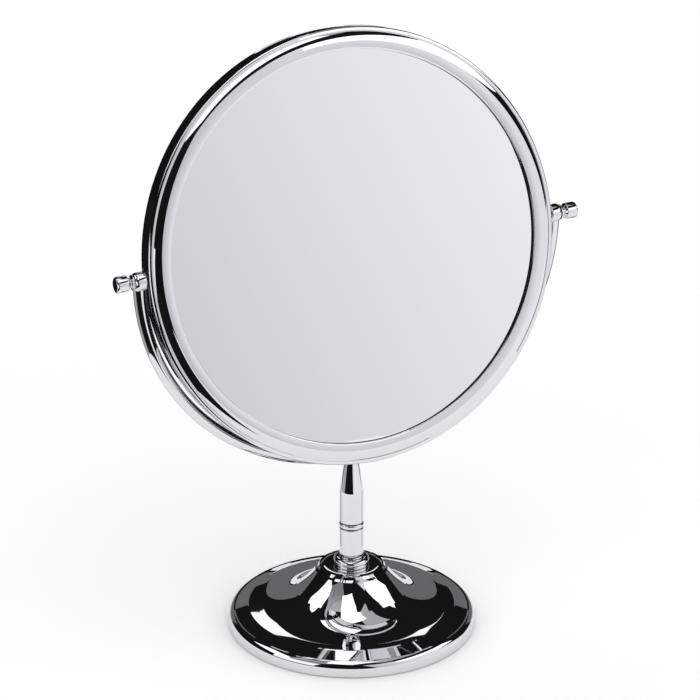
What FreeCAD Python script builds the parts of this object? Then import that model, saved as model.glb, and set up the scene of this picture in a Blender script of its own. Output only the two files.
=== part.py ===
"""Table-top shaving mirror on a short telescopic pedestal, as a parametric FreeCAD document.

A spun bell-shaped foot carries a turned collar and a tube.  A slimmer tube slides in it and lifts the
head: a tapered sleeve with a half-ring yoke brazed on top.  A round two-sided mirror swings between the
yoke's ends on two thumb screws.  Millimetres, +Z up, the origin at the centre of the foot's underside, the
plain glass facing -Y.
"""

import FreeCAD, Part
import math
import os

import Sketcher

SIZES = {
    # foot: a spun shell over an iron weight
    "foot_radius": 64.8,
    "foot_lift": 0.5,
    "skirt_top": 4.2,
    "rim_radius": 61.9,
    "rim_top": 8.45,
    "rim_round": 4.6,
    "valley_radius": 61.1,
    "valley_top": 8.2,
    "crease_radius": 54.5,
    "crease_top": 10.5,
    "flare_foot": 50.0,
    "flare_foot_top": 11.0,
    "flare_bend": 34.8,
    "flank": 28.9,
    "flank_top": 19.3,
    "flank_bend": 60.0,
    "shoulder_radius": 16.8,
    "shoulder_round": 5.4,
    "plateau": 33.5,
    "shell_gauge": 0.8,
    "shell_hole": 7.1,
    "pad_radius": 62.0,
    "pad_thick": 1.55,
    "plate_radius": 63.3,
    "plate_thick": 1.0,
    "plate_hole": 13.0,
    "weight_radius": 61.5,
    "weight_bottom": 2.7,
    "recess_radius": 12.5,
    "recess_top": 9.6,
    # collar socket, its washer and nut
    "spigot_radius": 7.0,
    "spigot_bottom": 3.2,
    "collar_flange": 9.1,
    "collar_groove": 8.6,
    "collar_groove_up": 35.3,
    "collar_bead": 9.4,
    "collar_bead_round": 2.0,
    "collar_top": 38.2,
    "collar_seat": 37.6,
    "washer_radius": 12.0,
    "washer_thick": 1.4,
    "nut_across_corners": 21.9,
    "nut_bottom": 3.4,
    "nut_thick": 4.6,
    # telescopic stem
    "stem_radius": 6.35,
    "tube_top": 54.9,
    "tube_bore": 4.6,
    "tube_tail": 5.4,
    "tube_tail_bottom": 4.0,
    "ring_radius": 6.5,
    "ring_bottom": 55.2,
    "ring_top": 57.8,
    "ring_tail_bottom": 52.0,
    "guide_bottom": 45.5,
    "glide_bottom": 6.6,
    "glide_top": 13.6,
    "slider_radius": 3.75,
    "slider_bore": 2.75,
    "slider_bottom": 13.9,
    "slider_top": 75.5,
    "stop_head": 3.6,
    "stop_bottom": 5.0,
    "stop_neck": 3.1,
    "stop_plug": 2.72,
    "stop_plug_top": 20.0,
    "sleeve_bottom": 58.2,
    "cone_bottom": 76.0,
    "cone_top": 94.8,
    "cone_top_radius": 3.38,
    "fit": 0.05,
    # yoke and pivots
    "pivot_height": 211.2,
    "yoke_radius": 115.0,
    "rod_radius": 3.175,
    "eye_radius": 4.8,
    "eye_inner": 111.85,
    "eye_outer": 118.15,
    "eye_bore": 2.06,
    "screw_radius": 2.0,
    "screw_inner": 106.9,
    "screw_outer": 125.2,
    "insert_radius": 3.3,
    "insert_inner": 106.7,
    "insert_outer": 110.1,
    "slip_washer_radius": 4.2,
    "slip_washer_inner": 111.05,
    "slip_washer_outer": 111.75,
    "spring_radius": 4.0,
    "spring_inner": 118.25,
    "spring_outer": 119.45,
    "spring_gauge": 0.45,
    "knob_neck": 2.4,
    "knob_inner": 119.55,
    "knob_shoulder": 121.6,
    "knob_radius": 4.2,
    "knob_outer": 127.5,
    # mirror head, measured from its own mid plane
    "tilt": 11.4,
    "band_radius": 110.9,
    "band_gauge": 0.65,
    "band_half": 4.6,
    "carrier_inner": 105.2,
    "seam": 4.65,
    "bead_outer": 111.2,
    "bead_round": 0.9,
    "land_outer": 110.6,
    "land_outer_top": 5.55,
    "land_round": 4.0,
    "crease_across": 108.87,
    "crease_up": 5.7,
    "roll_round": 9.5,
    "lip_top": 6.94,
    "lip_radius": 100.0,
    "lip_round": 0.35,
    "lip_bottom": 6.0,
    "gasket_outer": 101.8,
    "gasket_setback": 0.2,
    "web_bottom": 5.7,
    "glass_radius": 104.9,
    "glass_face": 5.2,
    "glass_thick": 3.0,
    "dished_sag": 2.5,
    "dished_thick": 2.0,
    "backing_radius": 104.5,
    "backing_bottom": 0.35,
    "backing_thick": 1.8,
    "spacer_inner": 101.0,
}

doc = FreeCAD.newDocument("shaving_mirror")
sheet = doc.addObject("Spreadsheet::Sheet", "sizes")
for row, (alias, number) in enumerate(SIZES.items(), start=1):
    sheet.set(f"A{row}", alias)
    sheet.set(f"B{row}", str(number))
    sheet.setAlias(f"B{row}", alias)
doc.recompute()


class Dim:
    """A size that knows both its number and the sheet expression that it comes from."""

    def __init__(self, number, text):
        self.number = number
        self.text = text

    def __add__(self, other):
        other = dim(other)
        return Dim(self.number + other.number, f"({self.text} + {other.text})")

    def __sub__(self, other):
        other = dim(other)
        return Dim(self.number - other.number, f"({self.text} - {other.text})")

    def __mul__(self, other):
        other = dim(other)
        return Dim(self.number * other.number, f"({self.text} * {other.text})")

    def __truediv__(self, other):
        other = dim(other)
        return Dim(self.number / other.number, f"({self.text} / {other.text})")

    def __neg__(self):
        return Dim(-self.number, f"(0 - {self.text})")


def dim(value):
    """A named cell, a bare number or a Dim, as a Dim."""
    if isinstance(value, Dim):
        return value
    if isinstance(value, str):
        return Dim(SIZES[value], f"{sheet.Name}.{value}")
    return Dim(float(value), repr(float(value)))


ZERO = dim(0)
AXIS = -2  # the sketch's own vertical axis
FLOOR = -1  # and its horizontal one
START, END, CENTRE = 1, 2, 3
TINY = 1e-9  # millimetres


class To:
    """A corner of an outline.  bend is the radius of the arc that leads to it, and turn is 1 for an arc that
    bends to the left along the way and -1 to the right."""

    def __init__(self, across, up, bend=None, turn=0):
        self.across = dim(across)
        self.up = dim(up)
        self.bend = None if bend is None else dim(bend)
        self.turn = turn

    def point(self):
        return FreeCAD.Vector(self.across.number, self.up.number, 0)


def arc_between(begin, end, radius, turn):
    """The short arc of that radius from begin to end, always built anticlockwise as sketches keep them."""
    chord = end - begin
    half = chord.Length / 2
    left = FreeCAD.Vector(-chord.y, chord.x, 0).normalize()
    centre = (begin + end) * 0.5 + left * (math.sqrt(radius * radius - half * half) * turn)
    middle = centre - left * (radius * turn)
    return Part.Arc(begin, middle, end) if turn > 0 else Part.Arc(end, middle, begin)


def pin(sketch, geometry, vertex, corner):
    """Holds one sketch point at the corner's sheet sizes."""
    for kind, size, line in (("DistanceX", corner.across, AXIS), ("DistanceY", corner.up, FLOOR)):
        if abs(size.number) < TINY:
            sketch.addConstraint(Sketcher.Constraint("PointOnObject", geometry, vertex, line))
            continue
        index = sketch.addConstraint(Sketcher.Constraint(kind, geometry, vertex, size.number))
        sketch.setExpression(f"Constraints[{index}]", size.text)


def plane_of(body, role):
    return next(feature for feature in body.Origin.OriginFeatures if feature.Role == role)


def new_body(label):
    body = doc.addObject("PartDesign::Body", label)
    body.Label = label
    return body


def new_sketch(body, role, name):
    sketch = body.newObject("Sketcher::SketchObject", name)
    sketch.AttachmentSupport = (plane_of(body, role), "")
    sketch.MapMode = "FlatFace"
    return sketch


def outline_sketch(body, corners, name="outline"):
    """A closed outline on the body's XZ plane: across is the distance from the axis, up is along it."""
    sketch = new_sketch(body, "XZ_Plane", name)
    count = len(corners)
    for i in range(count):
        begin, corner = corners[i].point(), corners[(i + 1) % count]
        if corner.bend is None:
            sketch.addGeometry(Part.LineSegment(begin, corner.point()), False)
            continue
        sketch.addGeometry(arc_between(begin, corner.point(), corner.bend.number, corner.turn), False)
    ends = [(END, START) if corners[(i + 1) % count].turn < 0 else (START, END) for i in range(count)]
    for i in range(count):
        following = (i + 1) % count
        joined = Sketcher.Constraint("Coincident", i, ends[i][1], following, ends[following][0])
        sketch.addConstraint(joined)
        pin(sketch, i, ends[i][0], corners[i])
        corner = corners[following]
        if corner.bend is not None:
            index = sketch.addConstraint(Sketcher.Constraint("Radius", i, corner.bend.number))
            sketch.setExpression(f"Constraints[{index}]", corner.bend.text)
    return sketch


def turned(label, corners):
    """A piece turned on a lathe: the outline spun round the body's own Z axis."""
    body = new_body(label)
    sketch = outline_sketch(body, corners)
    spin = body.newObject("PartDesign::Revolution", "spin")
    spin.Profile = sketch
    spin.ReferenceAxis = (sketch, ["V_Axis"])
    spin.Angle = 360
    sketch.Visibility = False
    doc.recompute()
    return body


def ring_edges(shape, across, up):
    """Names of the circular edges of a turned shape at that radius and height."""
    found = []
    for number, edge in enumerate(shape.Edges, start=1):
        curve = edge.Curve
        if curve.TypeId != "Part::GeomCircle":
            continue
        same = abs(curve.Radius - across) < 0.02 and abs(curve.Center.z - up) < 0.02
        if same and math.hypot(curve.Center.x, curve.Center.y) < 0.02:
            found.append(f"Edge{number}")
    return found


def soften(body, corner_list, size, kind="Fillet"):
    """Rounds or chamfers the ring edges at the given corners."""
    size = dim(size)
    names = []
    for across, up in corner_list:
        names += ring_edges(body.Tip.Shape, dim(across).number, dim(up).number)
    assert len(names) >= len(corner_list), f"{body.Label}: an edge to soften was not found"
    tip = body.Tip
    feature = body.newObject(f"PartDesign::{kind}", kind.lower())
    feature.Base = (tip, names)
    prop = "Radius" if kind == "Fillet" else "Size"
    setattr(feature, prop, size.number)
    feature.setExpression(prop, size.text)
    doc.recompute()
    body.Tip = feature
    return body


def cross_hole(body, radius):
    """A round hole right through the piece along its own X axis."""
    radius = dim(radius)
    before = body.Shape.Volume
    sketch = new_sketch(body, "YZ_Plane", "cross_hole_circle")
    circle = Part.Circle(FreeCAD.Vector(0, 0, 0), FreeCAD.Vector(0, 0, 1), radius.number)
    sketch.addGeometry(circle, False)
    sketch.addConstraint(Sketcher.Constraint("Coincident", 0, CENTRE, -1, START))
    index = sketch.addConstraint(Sketcher.Constraint("Radius", 0, radius.number))
    sketch.setExpression(f"Constraints[{index}]", radius.text)
    doc.recompute()
    pocket = body.newObject("PartDesign::Pocket", "cross_hole")
    pocket.Profile = sketch
    pocket.Type = "ThroughAll"
    pocket.Midplane = True
    sketch.Visibility = False
    doc.recompute()
    assert body.Shape.Volume < before - TINY, f"{body.Label}: the cross hole cut nothing"
    return body


def place(piece, axis, angle, height=ZERO):
    """Turns the piece about a row axis through the origin, then lifts it.  angle is a Dim in degrees."""
    lift = FreeCAD.Vector(0, 0, height.number)
    piece.Placement = FreeCAD.Placement(lift, FreeCAD.Rotation(axis, angle.number))
    piece.setExpression("Placement.Rotation.Angle", f"{angle.text} * 1 deg")
    if height is not ZERO:
        piece.setExpression("Placement.Base.z", height.text)
    return piece


X_AXIS = FreeCAD.Vector(1, 0, 0)
Y_AXIS = FreeCAD.Vector(0, 1, 0)
PIVOT = dim("pivot_height")
FIT = dim("fit")
FRONT = dim(90) - "tilt"
REAR = FRONT + 180
nodes = []


def keep(piece):
    nodes.append(piece)
    return piece


def on_front(piece):
    """Stands a mirror part up: its own +Z becomes the plain glass's outward normal."""
    return keep(place(piece, X_AXIS, FRONT, PIVOT))


def on_rear(piece):
    return keep(place(piece, X_AXIS, REAR, PIVOT))


def on_pivot(piece, side):
    """Lays a part along the pivot line: its own +Z points outwards to the left (-1) or the right (1)."""
    return keep(place(piece, Y_AXIS, dim(90 * side), PIVOT))


# ---------------------------------------------------------------- foot
def make_shell():
    """Spun cover: skirt, rolled rim, shallow valley, crease, flared bell and a flat top with a hole."""
    gauge = dim("shell_gauge")
    under = dim("plateau") - gauge
    outer = [
        To("foot_radius", "foot_lift"),
        To("foot_radius", "skirt_top"),
        To("rim_radius", "rim_top", "rim_round", 1),
        To("valley_radius", "valley_top"),
        To("crease_radius", "crease_top"),
        To("flare_foot", "flare_foot_top"),
        To("flank", "flank_top", "flare_bend", -1),
        To("shoulder_radius", "plateau", "flank_bend", -1),
        To("shell_hole", "plateau"),
    ]
    # the flank is set in along its own slope, about 40 degrees at its foot and 58 at its head
    foot_in, foot_down, head_in = 0.65, 0.76, 0.56
    inner_shoulder = dim("shoulder_radius") - gauge * head_in
    inner_flank = dim("flank") - gauge * foot_in
    inner_flank_top = dim("flank_top") - gauge * foot_down
    inner = [
        To("shell_hole", under),
        To(inner_shoulder, under),
        To(inner_flank, inner_flank_top, dim("flank_bend") + gauge, 1),
        To("flare_foot", dim("flare_foot_top") - gauge, dim("flare_bend") + gauge, 1),
        To("crease_radius", dim("crease_top") - gauge),
        To("valley_radius", dim("valley_top") - gauge),
        To("rim_radius", dim("rim_top") - gauge),
        To(dim("foot_radius") - gauge, "skirt_top", dim("rim_round") - gauge, -1),
        To(dim("foot_radius") - gauge, "foot_lift"),
    ]
    shell = turned("base_shell", outer + inner)
    soften(shell, [("shoulder_radius", "plateau")], "shoulder_round")
    return keep(soften(shell, [(inner_shoulder, under)], dim("shoulder_round") - gauge))


def make_weight():
    """Cast-iron ballast that follows the shell's underside and hides the nut in a recess."""
    top = dim("plateau") - "shell_gauge" - FIT
    bore = dim("spigot_radius") + 0.2
    corners = [
        To("recess_radius", "weight_bottom"),
        To("weight_radius", "weight_bottom"),
        To("weight_radius", 5.0),
        To(58, 6.9),
        To("crease_radius", 8.7),
        To("flare_foot", 9.5),
        To(44, 10.2),
        To(36, 12.8),
        To(28, 18.1),
        To(21, 25.2),
        To(16, 30.2),
        To(13.2, top),
        To(bore, top),
        To(bore, "recess_top"),
        To("recess_radius", "recess_top"),
    ]
    return keep(turned("base_weight", corners))


def make_plate():
    bottom = dim("pad_thick") + FIT
    corners = [
        To("plate_hole", bottom),
        To("plate_radius", bottom),
        To("plate_radius", bottom + "plate_thick"),
        To("plate_hole", bottom + "plate_thick"),
    ]
    return keep(turned("base_plate", corners))


def make_pad():
    pad = doc.addObject("Part::Cylinder", "base_pad")
    pad.Label = "base_pad"
    pad.setExpression("Radius", dim("pad_radius").text)
    pad.setExpression("Height", dim("pad_thick").text)
    return keep(pad)


def make_collar():
    """Turned brass socket: two stacked beads above the shell and a threaded spigot below it."""
    bore = dim("tube_tail") + FIT
    seat = dim("plateau") + FIT
    mouth = dim("stem_radius") + 0.2
    groove_half = 0.4
    corners = [
        To(bore, "spigot_bottom"),
        To("spigot_radius", "spigot_bottom"),
        To("spigot_radius", seat),
        To("collar_flange", seat),
        To("collar_flange", dim("collar_groove_up") - groove_half),
        To("collar_groove", "collar_groove_up"),
        To("collar_bead", dim("collar_groove_up") + groove_half),
        To("collar_bead", "collar_top"),
        To(mouth, "collar_top"),
        To(mouth, "collar_seat"),
        To(bore, "collar_seat"),
    ]
    collar = turned("collar_socket", corners)
    return keep(soften(collar, [("collar_bead", "collar_top")], "collar_bead_round"))


def make_clamp():
    """Flat washer and hexagon nut that pull the collar down on the shell from inside the weight's recess."""
    top = dim("recess_top") - FIT
    corners = [
        To(dim("spigot_radius") + 0.1, top - "washer_thick"),
        To("washer_radius", top - "washer_thick"),
        To("washer_radius", top),
        To(dim("spigot_radius") + 0.1, top),
    ]
    keep(turned("clamp_washer", corners))
    hexagon = doc.addObject("Part::Prism", "nut_hexagon")
    hexagon.Polygon = 6
    hexagon.setExpression("Circumradius", (dim("nut_across_corners") / 2).text)
    hexagon.setExpression("Height", dim("nut_thick").text)
    hexagon.setExpression("Placement.Base.z", dim("nut_bottom").text)
    bore = doc.addObject("Part::Cylinder", "nut_bore")
    bore.setExpression("Radius", (dim("spigot_radius") + FIT).text)
    bore.setExpression("Height", (dim("nut_thick") * 3).text)
    nut = doc.addObject("Part::Cut", "clamp_nut")
    nut.Label = "clamp_nut"
    nut.Base = hexagon
    nut.Tool = bore
    doc.recompute()
    return keep(nut)


# ---------------------------------------------------------------- telescopic stem
def make_outer_tube():
    """Lower tube: its barrel stands in the collar's mouth and its reduced tail is brazed in the socket."""
    bottom = dim("collar_seat") + FIT
    corners = [
        To("tube_bore", "tube_tail_bottom"),
        To("tube_tail", "tube_tail_bottom"),
        To("tube_tail", bottom),
        To("stem_radius", bottom),
        To("stem_radius", "tube_top"),
        To("tube_bore", "tube_top"),
    ]
    tube = turned("outer_tube", corners)
    soften(tube, [("stem_radius", bottom)], 0.8)
    return keep(soften(tube, [("stem_radius", "tube_top")], 0.5))


def make_joint_ring():
    """Chromed ring on the tube's mouth: the bead between the two grooves of the stem."""
    bore = dim("slider_radius") + FIT * 3
    corners = [
        To(bore, "ring_tail_bottom"),
        To(dim("tube_bore") - FIT, "ring_tail_bottom"),
        To(dim("tube_bore") - FIT, "ring_bottom"),
        To("ring_radius", "ring_bottom"),
        To("ring_radius", "ring_top"),
        To(bore, "ring_top"),
    ]
    ring = turned("joint_ring", corners)
    return keep(soften(ring, [("ring_radius", "ring_bottom"), ("ring_radius", "ring_top")], 0.9))


def make_bushes():
    """Nylon guide fixed in the tube's mouth, and the nylon glide that travels up to it."""
    guide = [
        To(dim("slider_radius") + FIT, "guide_bottom"),
        To(dim("tube_bore") - FIT * 0.6, "guide_bottom"),
        To(dim("tube_bore") - FIT * 0.6, dim("ring_tail_bottom") - 0.1),
        To(dim("slider_radius") + FIT, dim("ring_tail_bottom") - 0.1),
    ]
    keep(turned("guide_bush", guide))
    glide = [
        To(dim("stop_neck") + FIT, "glide_bottom"),
        To(dim("tube_bore") - FIT, "glide_bottom"),
        To(dim("tube_bore") - FIT, "glide_top"),
        To(dim("stop_neck") + FIT, "glide_top"),
    ]
    keep(turned("glide_bush", glide))


def make_slider():
    """Inner tube and the headed end stop that keeps the glide bush on it."""
    tube = [
        To("slider_bore", "slider_bottom"),
        To("slider_radius", "slider_bottom"),
        To("slider_radius", "slider_top"),
        To("slider_bore", "slider_top"),
    ]
    keep(turned("inner_tube", tube))
    neck_bottom = dim("glide_bottom") - 0.2
    stop = [
        To(ZERO, "stop_bottom"),
        To("stop_head", "stop_bottom"),
        To("stop_head", neck_bottom),
        To("stop_neck", neck_bottom),
        To("stop_neck", dim("slider_bottom") - 0.02),
        To("stop_plug", dim("slider_bottom") - 0.02),
        To("stop_plug", "stop_plug_top"),
        To(ZERO, "stop_plug_top"),
    ]
    keep(turned("end_stop", stop))


def make_sleeve():
    """Upper sleeve and cone, saddled under the yoke rod."""
    bore = dim("slider_radius") + 0.03
    corners = [
        To(bore, "sleeve_bottom"),
        To("stem_radius", "sleeve_bottom"),
        To("stem_radius", "cone_bottom"),
        To("cone_top_radius", "cone_top"),
        To(ZERO, "cone_top"),
        To(ZERO, dim("slider_top") + 0.3),
        To(bore, dim("slider_top") + 0.3),
    ]
    body = soften(turned("sleeve_blank", corners), [("stem_radius", "sleeve_bottom")], 0.6)
    saddle = doc.addObject("Part::Torus", "saddle_cutter")
    saddle.setExpression("Radius1", dim("yoke_radius").text)
    saddle.setExpression("Radius2", (dim("rod_radius") + 0.02).text)
    place(saddle, X_AXIS, dim(90), PIVOT)
    sleeve = doc.addObject("Part::Cut", "upper_sleeve")
    sleeve.Label = "upper_sleeve"
    sleeve.Base = body
    sleeve.Tool = saddle
    doc.recompute()
    return keep(sleeve)


# ---------------------------------------------------------------- yoke and pivots
def make_yoke():
    """Half ring of round rod, its ends coped to the eyes."""
    body = new_body("yoke_rod")
    sketch = new_sketch(body, "XY_Plane", "rod_section")
    centre = To("yoke_radius", ZERO)
    rod = dim("rod_radius")
    sketch.addGeometry(Part.Circle(centre.point(), FreeCAD.Vector(0, 0, 1), rod.number), False)
    pin(sketch, 0, CENTRE, centre)
    index = sketch.addConstraint(Sketcher.Constraint("Radius", 0, rod.number))
    sketch.setExpression(f"Constraints[{index}]", rod.text)
    doc.recompute()
    bend = body.newObject("PartDesign::Revolution", "bend")
    bend.Profile = sketch
    bend.ReferenceAxis = (sketch, ["V_Axis"])
    bend.Angle = 180
    doc.recompute()
    sketch.Visibility = False
    if body.Shape.BoundBox.ZMax > rod.number:
        bend.Reversed = True
        doc.recompute()
    cross_hole(body, dim("eye_radius") + 0.03)
    return keep(place(body, X_AXIS, ZERO, PIVOT))


def make_pivot(side, name):
    """Everything on one pivot line, from the insert in the frame out to the thumb knob."""
    eye = [
        To("eye_bore", "eye_inner"),
        To("eye_radius", "eye_inner"),
        To("eye_radius", "eye_outer"),
        To("eye_bore", "eye_outer"),
    ]
    body = turned(f"yoke_eye_{name}", eye)
    soften(body, [("eye_radius", "eye_outer")], 1.6)
    on_pivot(soften(body, [("eye_radius", "eye_inner")], 0.8), side)

    gauge = dim("spring_gauge")
    bore = dim("screw_radius") + 0.1
    spring = [
        To(bore, dim("spring_outer") - gauge),
        To("spring_radius", "spring_inner"),
        To("spring_radius", dim("spring_inner") + gauge),
        To(bore, "spring_outer"),
    ]
    on_pivot(turned(f"spring_washer_{name}", spring), side)

    slip = [
        To(bore, "slip_washer_inner"),
        To("slip_washer_radius", "slip_washer_inner"),
        To("slip_washer_radius", "slip_washer_outer"),
        To(bore, "slip_washer_outer"),
    ]
    on_pivot(turned(f"slip_washer_{name}", slip), side)

    insert = [
        To(dim("screw_radius") + FIT, "insert_inner"),
        To("insert_radius", "insert_inner"),
        To("insert_radius", "insert_outer"),
        To(dim("screw_radius") + FIT, "insert_outer"),
    ]
    on_pivot(turned(f"pivot_insert_{name}", insert), side)

    screw = [
        To(ZERO, "screw_inner"),
        To(dim("screw_radius") - 0.4, "screw_inner"),
        To("screw_radius", dim("screw_inner") + 0.5),
        To("screw_radius", "screw_outer"),
        To(ZERO, "screw_outer"),
    ]
    on_pivot(turned(f"pivot_screw_{name}", screw), side)

    socket = dim("screw_radius") + 0.02
    knob = [
        To(socket, "knob_inner"),
        To("knob_neck", "knob_inner"),
        To("knob_neck", dim("knob_inner") + 0.6),
        To("knob_radius", "knob_shoulder"),
        To("knob_radius", "knob_outer"),
        To(ZERO, "knob_outer"),
        To(ZERO, dim("screw_outer") + 0.05),
        To(socket, dim("screw_outer") + 0.05),
    ]
    body = turned(f"thumb_knob_{name}", knob)
    soften(body, [("knob_radius", "knob_outer")], 0.9)
    on_pivot(soften(body, [("knob_radius", "knob_shoulder")], 0.4), side)


# ---------------------------------------------------------------- mirror head
def make_band():
    """Outer hoop of the frame and the moulded carrier ring inside it, both drilled on the pivot line."""
    half = dim("band_half")
    inside = dim("band_radius") - "band_gauge"
    hoop = [
        To(inside, -half),
        To("band_radius", -half),
        To("band_radius", half),
        To(inside, half),
    ]
    on_front(cross_hole(turned("frame_band", hoop), dim("screw_radius") + 0.4))
    carrier = [
        To("carrier_inner", -half),
        To(inside - FIT, -half),
        To(inside - FIT, half),
        To("carrier_inner", half),
    ]
    on_front(cross_hole(turned("inner_carrier", carrier), dim("insert_radius") + FIT))


def bezel_corners():
    """Bezel section: a rounded land outside, a crease, a wide convex roll and a lip over the glass."""
    lip = dim("lip_radius")
    return [
        To("bead_outer", "seam"),
        To("land_outer", "land_outer_top", "bead_round", 1),
        To("crease_across", "crease_up", "land_round", 1),
        To(lip + "lip_round", "lip_top", "roll_round", 1),
        To(lip, dim("lip_top") - "lip_round", "lip_round", 1),
        To(lip, "lip_bottom"),
        To("gasket_outer", "lip_bottom"),
        To("gasket_outer", "web_bottom"),
        To(dim("carrier_inner") + 0.1, "web_bottom"),
        To(dim("carrier_inner") + 0.1, "seam"),
    ]


def gasket_corners():
    inside = dim("lip_radius") + "gasket_setback"
    bottom = dim("glass_face") + 0.03
    return [
        To(inside, bottom),
        To(dim("gasket_outer") - FIT, bottom),
        To(dim("gasket_outer") - FIT, dim("lip_bottom") - 0.03),
        To(inside, dim("lip_bottom") - 0.03),
    ]


def make_plain_glass():
    face = dim("glass_face")
    back = face - "glass_thick"
    seam = 0.4
    edge = dim("glass_radius")
    corners = [
        To(ZERO, back),
        To(edge - seam, back),
        To(edge, back + seam),
        To(edge, face - seam),
        To(edge - seam, face),
        To(ZERO, face),
    ]
    return on_front(turned("plain_glass", corners))


def make_dished_glass():
    """Magnifying glass: a disc ground to two spheres about one centre, hollow towards the rear."""
    sag = dim("dished_sag")
    rim = dim("glass_radius")
    hollow = dim("glass_face") - sag
    curve = (rim * rim + sag * sag) / (sag * 2)
    blank = turned("glass_blank", [
        To(ZERO, hollow - "dished_thick" - 1),
        To(rim, hollow - "dished_thick" - 1),
        To(rim, "glass_face"),
        To(ZERO, "glass_face"),
    ])
    balls = []
    for name, radius in (("back_sphere", curve + "dished_thick"), ("face_sphere", curve)):
        ball = doc.addObject("Part::Sphere", name)
        ball.setExpression("Radius", radius.text)
        ball.setExpression("Placement.Base.z", (hollow + curve).text)
        balls.append(ball)
    backed = doc.addObject("Part::Common", "backed_glass")
    backed.Base, backed.Tool = blank, balls[0]
    glass = doc.addObject("Part::Cut", "dished_glass")
    glass.Label = "dished_glass"
    glass.Base, glass.Tool = backed, balls[1]
    doc.recompute()
    return on_rear(glass)


def make_packing():
    """Foam sheet behind the plain glass and the foam ring that holds the dished glass's rim."""
    bottom = dim("backing_bottom")
    sheet_corners = [
        To(ZERO, bottom),
        To("backing_radius", bottom),
        To("backing_radius", bottom + "backing_thick"),
        To(ZERO, bottom + "backing_thick"),
    ]
    on_front(turned("backing_sheet", sheet_corners))
    rim_back = dim("dished_thick") - "glass_face"
    ring = [
        To("spacer_inner", rim_back + 0.2),
        To("backing_radius", rim_back + 0.2),
        To("backing_radius", bottom - FIT),
        To("spacer_inner", bottom - FIT),
    ]
    on_front(turned("spacer_ring", ring))


make_shell()
make_weight()
make_plate()
make_pad()
make_collar()
make_clamp()
make_outer_tube()
make_joint_ring()
make_bushes()
make_slider()
make_sleeve()
make_yoke()
for pivot_side, pivot_name in ((-1, "left"), (1, "right")):
    make_pivot(pivot_side, pivot_name)
make_band()
on_front(turned("front_bezel", bezel_corners()))
on_rear(turned("rear_bezel", bezel_corners()))
on_front(turned("front_gasket", gasket_corners()))
on_rear(turned("rear_gasket", gasket_corners()))
make_plain_glass()
make_dished_glass()
make_packing()

doc.recompute()
for item in doc.Objects:
    owner = item.getParentGeoFeatureGroup()
    label = f"{owner.Label if owner else ''} {item.Label}"
    assert "Invalid" not in item.State and "Error" not in item.State, f"{label} failed to build"

os.makedirs("parts", exist_ok=True)
for node in nodes:
    shape = node.Shape
    assert not shape.isNull() and shape.isValid(), f"{node.Label} has no valid shape"
    assert shape.Solids, f"{node.Label} holds no solid"
    shape.exportStep(f"parts/{node.Label}.step")
    box = shape.BoundBox
    print(f"{node.Label}: {shape.Volume:.1f} mm3, z {box.ZMin:.2f} to {box.ZMax:.2f}")
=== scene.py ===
import math

import bmesh
import bpy
from mathutils import Matrix, Vector


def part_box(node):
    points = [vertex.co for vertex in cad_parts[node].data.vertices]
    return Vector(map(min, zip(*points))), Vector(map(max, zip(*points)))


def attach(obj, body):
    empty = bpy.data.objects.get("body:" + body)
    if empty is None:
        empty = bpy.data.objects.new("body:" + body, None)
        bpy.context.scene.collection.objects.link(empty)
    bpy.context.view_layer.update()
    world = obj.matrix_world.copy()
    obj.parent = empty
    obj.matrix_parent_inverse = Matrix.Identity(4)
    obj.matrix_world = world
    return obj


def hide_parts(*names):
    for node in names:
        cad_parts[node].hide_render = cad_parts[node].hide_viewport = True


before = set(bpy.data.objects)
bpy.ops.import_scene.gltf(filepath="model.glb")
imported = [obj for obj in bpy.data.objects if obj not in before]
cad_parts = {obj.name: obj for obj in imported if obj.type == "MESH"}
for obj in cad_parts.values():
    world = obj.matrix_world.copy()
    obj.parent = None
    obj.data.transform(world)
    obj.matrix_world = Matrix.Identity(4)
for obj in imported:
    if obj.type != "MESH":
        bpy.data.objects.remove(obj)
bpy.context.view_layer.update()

# ------------------------------------------------------------------ foam pad
# A disc of closed-cell foam rubber is glued under the foot.  It is the only face that touches the
# shelf, and it shows as a thin dark line in the shadow under the skirt.
MM = 0.001
WELD = 1e-7
ON_AXIS = 1e-8


class Wire:
    """One output of a node, so that shader maths reads as maths."""

    def __init__(self, finish, socket):
        self.finish = finish
        self.socket = socket

    def _with(self, operation, first, second):
        return self.finish.add("ShaderNodeMath", {"operation": operation}, {0: first, 1: second})

    def __add__(self, other):
        return self._with("ADD", self, other)

    def __radd__(self, other):
        return self._with("ADD", other, self)

    def __sub__(self, other):
        return self._with("SUBTRACT", self, other)

    def __rsub__(self, other):
        return self._with("SUBTRACT", other, self)

    def __mul__(self, other):
        return self._with("MULTIPLY", self, other)

    def __rmul__(self, other):
        return self._with("MULTIPLY", other, self)

    def __gt__(self, other):
        return self._with("GREATER_THAN", self, other)


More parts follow.
